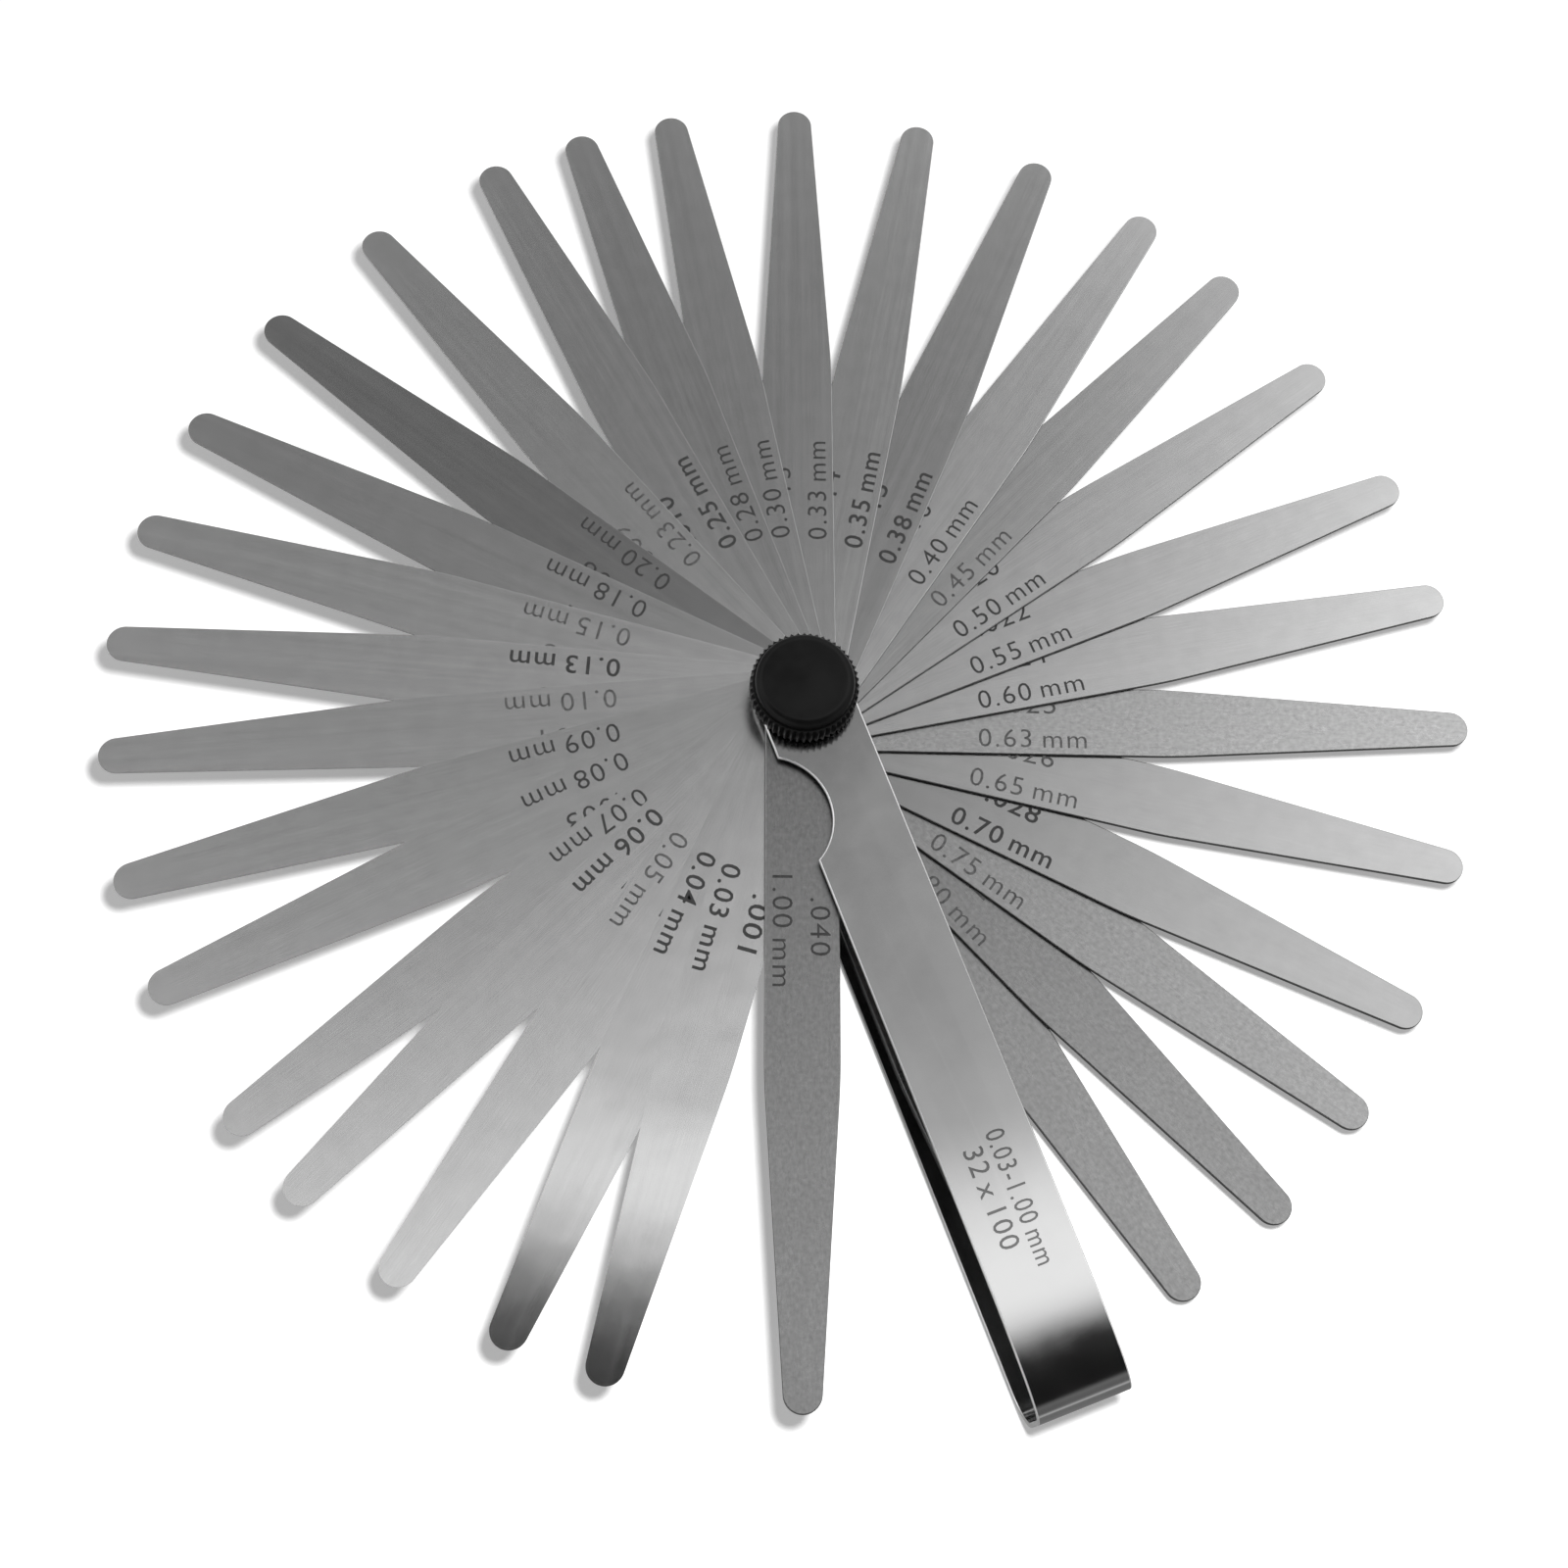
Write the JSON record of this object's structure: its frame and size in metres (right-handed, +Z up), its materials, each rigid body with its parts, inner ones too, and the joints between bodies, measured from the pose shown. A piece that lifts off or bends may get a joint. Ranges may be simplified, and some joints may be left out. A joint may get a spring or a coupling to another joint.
{
  "type": "feeler gauge",
  "caption": "Feeler gauge: tapered round-tipped steel blades fanned on one bolt inside a folded steel holder with a thumb notch, clamped by a knurled black knob.",
  "frame": {"origin": "on the bolt's axis, on the flat underside of the bolt head, where the gauge rests", "axes": "+Z up the bolt towards the knob; -Y along the holder from the bolt to the fold; +X to the right when the fold points at the viewer"},
  "size_m": [0.1897, 0.1954, 0.0223],
  "materials": {
    "blade_steel": "fine ground satin spring steel with etched size marks",
    "ground_steel": "coarser ground, slightly mottled spring steel with etched size marks",
    "holder_nickel": "polished nickel plate",
    "bolt_steel": "turned zinc-plated steel",
    "knob_plastic": "moulded black plastic with a straight knurl",
    "insert_brass": "turned brass"
  },
  "bodies": {
    "holder_body": {"holder": "holder_nickel", "pivot_bolt": "bolt_steel"},
    "blade_1_00_body": {"blade_1_00": "ground_steel"},
    "blade_0_03_body": {"blade_0_03": "blade_steel"},
    "blade_0_04_body": {"blade_0_04": "blade_steel"},
    "blade_0_05_body": {"blade_0_05": "blade_steel"},
    "blade_0_06_body": {"blade_0_06": "blade_steel"},
    "blade_0_07_body": {"blade_0_07": "blade_steel"},
    "blade_0_08_body": {"blade_0_08": "blade_steel"},
    "blade_0_09_body": {"blade_0_09": "blade_steel"},
    "blade_0_10_body": {"blade_0_10": "blade_steel"},
    "blade_0_13_body": {"blade_0_13": "blade_steel"},
    "blade_0_15_body": {"blade_0_15": "blade_steel"},
    "blade_0_18_body": {"blade_0_18": "blade_steel"},
    "blade_0_20_body": {"blade_0_20": "blade_steel"},
    "blade_0_23_body": {"blade_0_23": "blade_steel"},
    "blade_0_25_body": {"blade_0_25": "blade_steel"},
    "blade_0_28_body": {"blade_0_28": "blade_steel"},
    "blade_0_30_body": {"blade_0_30": "blade_steel"},
    "blade_0_33_body": {"blade_0_33": "blade_steel"},
    "blade_0_35_body": {"blade_0_35": "blade_steel"},
    "blade_0_38_body": {"blade_0_38": "blade_steel"},
    "blade_0_40_body": {"blade_0_40": "blade_steel"},
    "blade_0_45_body": {"blade_0_45": "blade_steel"},
    "blade_0_50_body": {"blade_0_50": "blade_steel"},
    "blade_0_55_body": {"blade_0_55": "blade_steel"},
    "blade_0_60_body": {"blade_0_60": "blade_steel"},
    "blade_0_63_body": {"blade_0_63": "ground_steel"},
    "blade_0_65_body": {"blade_0_65": "blade_steel"},
    "blade_0_70_body": {"blade_0_70": "blade_steel"},
    "blade_0_75_body": {"blade_0_75": "ground_steel"},
    "blade_0_80_body": {"blade_0_80": "ground_steel"},
    "blade_0_85_body": {"blade_0_85": "ground_steel"},
    "blade_0_90_body": {"blade_0_90": "ground_steel"},
    "washer_body": {"washer": "bolt_steel"},
    "knob_body": {"knob": "knob_plastic", "knob_insert": "insert_brass"}
  },
  "joints": [
    {"name": "washer_lift", "type": "slide", "parent": "holder_body", "child": "washer_body", "axis": [0, 0, 1], "range_m": [0, 0.0024]},
    {"name": "knob_turn", "type": "hinge", "parent": "washer_body", "child": "knob_body", "pos_m": [0, 0, 0.01698], "axis": [0, 0, 1], "range_deg": [0, 1081]},
    {"name": "blade_1_00_swing", "type": "hinge", "parent": "holder_body", "child": "blade_1_00_body", "pos_m": [0, 0, 0], "axis": [0, 0, 1], "range_deg": [-339, 21]},
    {"name": "blade_0_03_swing", "type": "hinge", "parent": "holder_body", "child": "blade_0_03_body", "pos_m": [0, 0, 0], "axis": [0, 0, 1], "range_deg": [-323.5, 36.5]},
    {"name": "blade_0_04_swing", "type": "hinge", "parent": "holder_body", "child": "blade_0_04_body", "pos_m": [0, 0, 0], "axis": [0, 0, 1], "range_deg": [-315.5, 44.5]},
    {"name": "blade_0_05_swing", "type": "hinge", "parent": "holder_body", "child": "blade_0_05_body", "pos_m": [0, 0, 0], "axis": [0, 0, 1], "range_deg": [-305.5, 54.5]},
    {"name": "blade_0_06_swing", "type": "hinge", "parent": "holder_body", "child": "blade_0_06_body", "pos_m": [0, 0, 0], "axis": [0, 0, 1], "range_deg": [-295.5, 64.5]},
    {"name": "blade_0_07_swing", "type": "hinge", "parent": "holder_body", "child": "blade_0_07_body", "pos_m": [0, 0, 0], "axis": [0, 0, 1], "range_deg": [-288, 72]},
    {"name": "blade_0_08_swing", "type": "hinge", "parent": "holder_body", "child": "blade_0_08_body", "pos_m": [0, 0, 0], "axis": [0, 0, 1], "range_deg": [-275.5, 84.5]},
    {"name": "blade_0_09_swing", "type": "hinge", "parent": "holder_body", "child": "blade_0_09_body", "pos_m": [0, 0, 0], "axis": [0, 0, 1], "range_deg": [-266, 94]},
    {"name": "blade_0_10_swing", "type": "hinge", "parent": "holder_body", "child": "blade_0_10_body", "pos_m": [0, 0, 0], "axis": [0, 0, 1], "range_deg": [-255, 105]},
    {"name": "blade_0_13_swing", "type": "hinge", "parent": "holder_body", "child": "blade_0_13_body", "pos_m": [0, 0, 0], "axis": [0, 0, 1], "range_deg": [-245, 115]},
    {"name": "blade_0_15_swing", "type": "hinge", "parent": "holder_body", "child": "blade_0_15_body", "pos_m": [0, 0, 0], "axis": [0, 0, 1], "range_deg": [-234.5, 125.5]},
    {"name": "blade_0_18_swing", "type": "hinge", "parent": "holder_body", "child": "blade_0_18_body", "pos_m": [0, 0, 0], "axis": [0, 0, 1], "range_deg": [-224, 136]},
    {"name": "blade_0_20_swing", "type": "hinge", "parent": "holder_body", "child": "blade_0_20_body", "pos_m": [0, 0, 0], "axis": [0, 0, 1], "range_deg": [-212.5, 147.5]},
    {"name": "blade_0_23_swing", "type": "hinge", "parent": "holder_body", "child": "blade_0_23_body", "pos_m": [0, 0, 0], "axis": [0, 0, 1], "range_deg": [-200.5, 159.5]},
    {"name": "blade_0_25_swing", "type": "hinge", "parent": "holder_body", "child": "blade_0_25_body", "pos_m": [0, 0, 0], "axis": [0, 0, 1], "range_deg": [-188, 172]},
    {"name": "blade_0_28_swing", "type": "hinge", "parent": "holder_body", "child": "blade_0_28_body", "pos_m": [0, 0, 0], "axis": [0, 0, 1], "range_deg": [-179.5, 180.5]},
    {"name": "blade_0_30_swing", "type": "hinge", "parent": "holder_body", "child": "blade_0_30_body", "pos_m": [0, 0, 0], "axis": [0, 0, 1], "range_deg": [-171, 189]},
    {"name": "blade_0_33_swing", "type": "hinge", "parent": "holder_body", "child": "blade_0_33_body", "pos_m": [0, 0, 0], "axis": [0, 0, 1], "range_deg": [-159.5, 200.5]},
    {"name": "blade_0_35_swing", "type": "hinge", "parent": "holder_body", "child": "blade_0_35_body", "pos_m": [0, 0, 0], "axis": [0, 0, 1], "range_deg": [-148, 212]},
    {"name": "blade_0_38_swing", "type": "hinge", "parent": "holder_body", "child": "blade_0_38_body", "pos_m": [0, 0, 0], "axis": [0, 0, 1], "range_deg": [-136.5, 223.5]},
    {"name": "blade_0_40_swing", "type": "hinge", "parent": "holder_body", "child": "blade_0_40_body", "pos_m": [0, 0, 0], "axis": [0, 0, 1], "range_deg": [-125.5, 234.5]},
    {"name": "blade_0_45_swing", "type": "hinge", "parent": "holder_body", "child": "blade_0_45_body", "pos_m": [0, 0, 0], "axis": [0, 0, 1], "range_deg": [-116, 244]},
    {"name": "blade_0_50_swing", "type": "hinge", "parent": "holder_body", "child": "blade_0_50_body", "pos_m": [0, 0, 0], "axis": [0, 0, 1], "range_deg": [-104.5, 255.5]},
    {"name": "blade_0_55_swing", "type": "hinge", "parent": "holder_body", "child": "blade_0_55_body", "pos_m": [0, 0, 0], "axis": [0, 0, 1], "range_deg": [-92, 268]},
    {"name": "blade_0_60_swing", "type": "hinge", "parent": "holder_body", "child": "blade_0_60_body", "pos_m": [0, 0, 0], "axis": [0, 0, 1], "range_deg": [-81, 279]},
    {"name": "blade_0_63_swing", "type": "hinge", "parent": "holder_body", "child": "blade_0_63_body", "pos_m": [0, 0, 0], "axis": [0, 0, 1], "range_deg": [-69, 291]},
    {"name": "blade_0_65_swing", "type": "hinge", "parent": "holder_body", "child": "blade_0_65_body", "pos_m": [0, 0, 0], "axis": [0, 0, 1], "range_deg": [-56.5, 303.5]},
    {"name": "blade_0_70_swing", "type": "hinge", "parent": "holder_body", "child": "blade_0_70_body", "pos_m": [0, 0, 0], "axis": [0, 0, 1], "range_deg": [-43, 317]},
    {"name": "blade_0_75_swing", "type": "hinge", "parent": "holder_body", "child": "blade_0_75_body", "pos_m": [0, 0, 0], "axis": [0, 0, 1], "range_deg": [-33, 327]},
    {"name": "blade_0_80_swing", "type": "hinge", "parent": "holder_body", "child": "blade_0_80_body", "pos_m": [0, 0, 0], "axis": [0, 0, 1], "range_deg": [-22.5, 337.5]},
    {"name": "blade_0_85_swing", "type": "hinge", "parent": "holder_body", "child": "blade_0_85_body", "pos_m": [0, 0, 0], "axis": [0, 0, 1], "range_deg": [-12.5, 347.5]},
    {"name": "blade_0_90_swing", "type": "hinge", "parent": "holder_body", "child": "blade_0_90_body", "pos_m": [0, 0, 0], "axis": [0, 0, 1], "range_deg": [0, 360]}
  ],
  "couplings": [
    {"joint": "knob_turn", "follows": "washer_lift", "rad_per_m": 7854}
  ]
}
